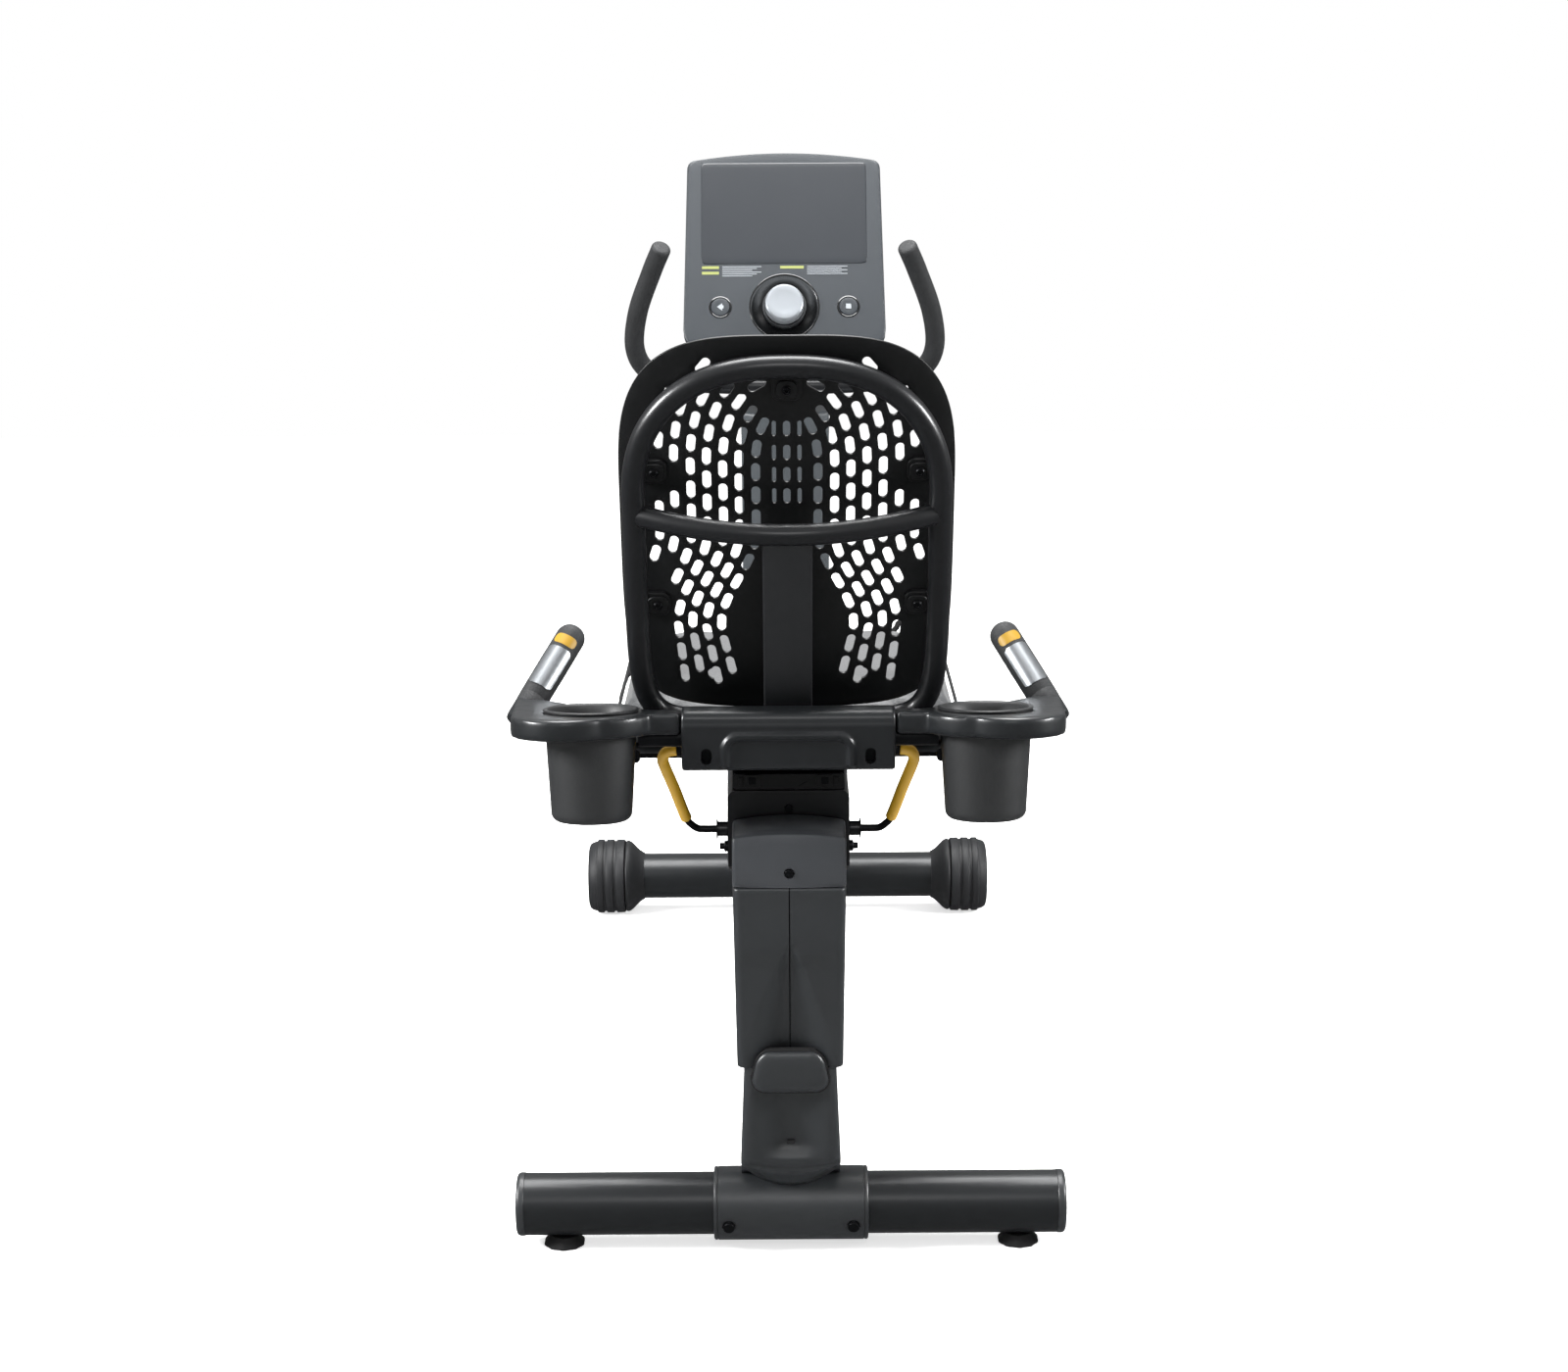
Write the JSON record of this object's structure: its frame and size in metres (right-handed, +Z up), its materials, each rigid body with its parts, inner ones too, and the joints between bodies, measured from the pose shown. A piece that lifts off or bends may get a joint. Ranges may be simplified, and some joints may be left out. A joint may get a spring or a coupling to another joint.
{
  "type": "recumbent exercise bike",
  "caption": "Recumbent exercise bike with a sliding seat, perforated back, side grips and cup holders, covered crank drive and a tilted console on a mast.",
  "frame": {"origin": "on the floor under the middle of the whole bike", "axes": "+Z up, +Y forward from the seat to the console, +X to the rider's right"},
  "size_m": [0.6938, 1.6065, 1.2843],
  "materials": {
    "charcoal_paint": "satin powder coat, charcoal",
    "cover_plastic": "fine-textured moulded charcoal plastic",
    "light_plastic": "light grey moulded plastic",
    "console_plastic": "blue-grey moulded plastic",
    "foot_rubber": "matt black rubber",
    "grip_rubber": "dark grey moulded rubber",
    "lever_rubber": "mustard yellow dipped sleeve",
    "black_steel": "black oxide steel",
    "bright_steel": "brushed steel",
    "rail_aluminium": "anodised aluminium",
    "flywheel_iron": "turned cast iron",
    "belt_rubber": "black rubber",
    "screen_glass": "dark blue-grey glass panel over an unlit display",
    "knob_silver": "satin silver",
    "seat_vinyl": "black upholstery vinyl",
    "glide_nylon": "white nylon"
  },
  "bodies": {
    "frame": {"rear_stabiliser": "charcoal_paint", "rear_end_caps": "cover_plastic", "rear_sleeve": "charcoal_paint", "rear_post": "charcoal_paint", "boot": "cover_plastic", "rear_shell_left": "cover_plastic", "rear_shell_right": "cover_plastic", "rear_cap": "cover_plastic", "frame_screws": "black_steel", "seat_rail": "rail_aluminium", "front_frame": "charcoal_paint", "front_stabiliser": "charcoal_paint", "wheel_covers": "cover_plastic", "crank_bearings": "bright_steel", "drive_belt": "belt_rubber", "housing_left": "cover_plastic", "housing_right": "cover_plastic", "housing_top": "light_plastic", "mast_tube": "charcoal_paint", "mast_cover": "light_plastic", "front_handlebar": "charcoal_paint", "front_grips": "grip_rubber", "console_face": "console_plastic", "console_back": "light_plastic", "display_glass": "screen_glass"},
    "foot_left": {"level_foot_left": "foot_rubber"},
    "foot_right": {"level_foot_right": "foot_rubber"},
    "wheel_left": {"wheel_left": "cover_plastic"},
    "wheel_right": {"wheel_right": "cover_plastic"},
    "crank": {"crank_axle": "bright_steel", "crank_left": "charcoal_paint", "crank_right": "charcoal_paint", "drive_pulley": "rail_aluminium"},
    "pedal_left": {"pedal_left": "cover_plastic", "strap_left": "grip_rubber"},
    "pedal_right": {"pedal_right": "cover_plastic", "strap_right": "grip_rubber"},
    "flywheel": {"flywheel": "flywheel_iron"},
    "dial_ring": {"dial_ring": "console_plastic"},
    "dial_knob": {"dial_knob": "knob_silver"},
    "button_left": {"button_left": "console_plastic"},
    "button_right": {"button_right": "console_plastic"},
    "seat": {"carriage_bracket": "charcoal_paint", "glide_pads": "glide_nylon", "seat_pan": "charcoal_paint", "seat_cushion": "seat_vinyl", "back_frame": "charcoal_paint", "back_shell": "cover_plastic", "seat_screws": "black_steel", "handle_box": "cover_plastic", "arm_left": "cover_plastic", "arm_right": "cover_plastic", "cup_left": "cover_plastic", "cup_right": "cover_plastic", "grips": "grip_rubber", "contact_plates": "bright_steel", "sensor_cable": "belt_rubber"},
    "levers": {"release_levers": "black_steel", "lever_grips": "lever_rubber"},
    "lock_pin": {"lock_pin": "bright_steel"}
  },
  "joints": [
    {"name": "seat_slide", "type": "slide", "parent": "frame", "child": "seat", "axis": [0, 0.9659, -0.2588], "range_m": [0, 0.28]},
    {"name": "lever_pull", "type": "hinge", "parent": "seat", "child": "levers", "pos_m": [0, -0.5922, 0.51], "axis": [1, 0, 0], "range_deg": [0, 14], "stiffness_Nm_per_rad": 1.5, "springref_deg": -20.05},
    {"name": "pin_lift", "type": "slide", "parent": "seat", "child": "lock_pin", "axis": [0, 0.2588, 0.9659], "range_m": [0, 0.0085]},
    {"name": "crank_spin", "type": "hinge", "parent": "frame", "child": "crank", "pos_m": [0, 0.4178, 0.43], "axis": [1, 0, 0], "continuous": true},
    {"name": "pedal_left_spin", "type": "hinge", "parent": "crank", "child": "pedal_left", "pos_m": [0, 0.2478, 0.43], "axis": [1, 0, 0], "continuous": true},
    {"name": "pedal_right_spin", "type": "hinge", "parent": "crank", "child": "pedal_right", "pos_m": [0, 0.5878, 0.43], "axis": [1, 0, 0], "continuous": true},
    {"name": "flywheel_spin", "type": "hinge", "parent": "frame", "child": "flywheel", "pos_m": [0, 0.5978, 0.3], "axis": [1, 0, 0], "continuous": true},
    {"name": "wheel_left_spin", "type": "hinge", "parent": "frame", "child": "wheel_left", "pos_m": [0, 0.7378, 0.0625], "axis": [1, 0, 0], "continuous": true},
    {"name": "wheel_right_spin", "type": "hinge", "parent": "frame", "child": "wheel_right", "pos_m": [0, 0.7378, 0.0625], "axis": [1, 0, 0], "continuous": true},
    {"name": "foot_left_turn", "type": "hinge", "parent": "frame", "child": "foot_left", "pos_m": [-0.28, -0.6622, 0], "axis": [0, 0, 1], "continuous": true},
    {"name": "foot_right_turn", "type": "hinge", "parent": "frame", "child": "foot_right", "pos_m": [0.28, -0.6622, 0], "axis": [0, 0, 1], "continuous": true},
    {"name": "dial_press", "type": "slide", "parent": "frame", "child": "dial_ring", "axis": [0, 0.9063, -0.4226], "range_m": [0, 0.0015], "stiffness_N_per_m": 1500, "springref_m": -0.004},
    {"name": "dial_turn", "type": "hinge", "parent": "dial_ring", "child": "dial_knob", "pos_m": [0, 0.42527, 1.05591], "axis": [0, -0.9063, 0.4226], "continuous": true},
    {"name": "button_left_press", "type": "slide", "parent": "frame", "child": "button_left", "axis": [0, 0.9063, -0.4226], "range_m": [0, 0.0015], "stiffness_N_per_m": 600, "springref_m": -0.003},
    {"name": "button_right_press", "type": "slide", "parent": "frame", "child": "button_right", "axis": [0, 0.9063, -0.4226], "range_m": [0, 0.0015], "stiffness_N_per_m": 600, "springref_m": -0.003}
  ],
  "couplings": [
    {"joint": "flywheel_spin", "follows": "crank_spin", "ratio": 4.8},
    {"joint": "pin_lift", "follows": "lever_pull", "m_per_rad": 0.032}
  ]
}
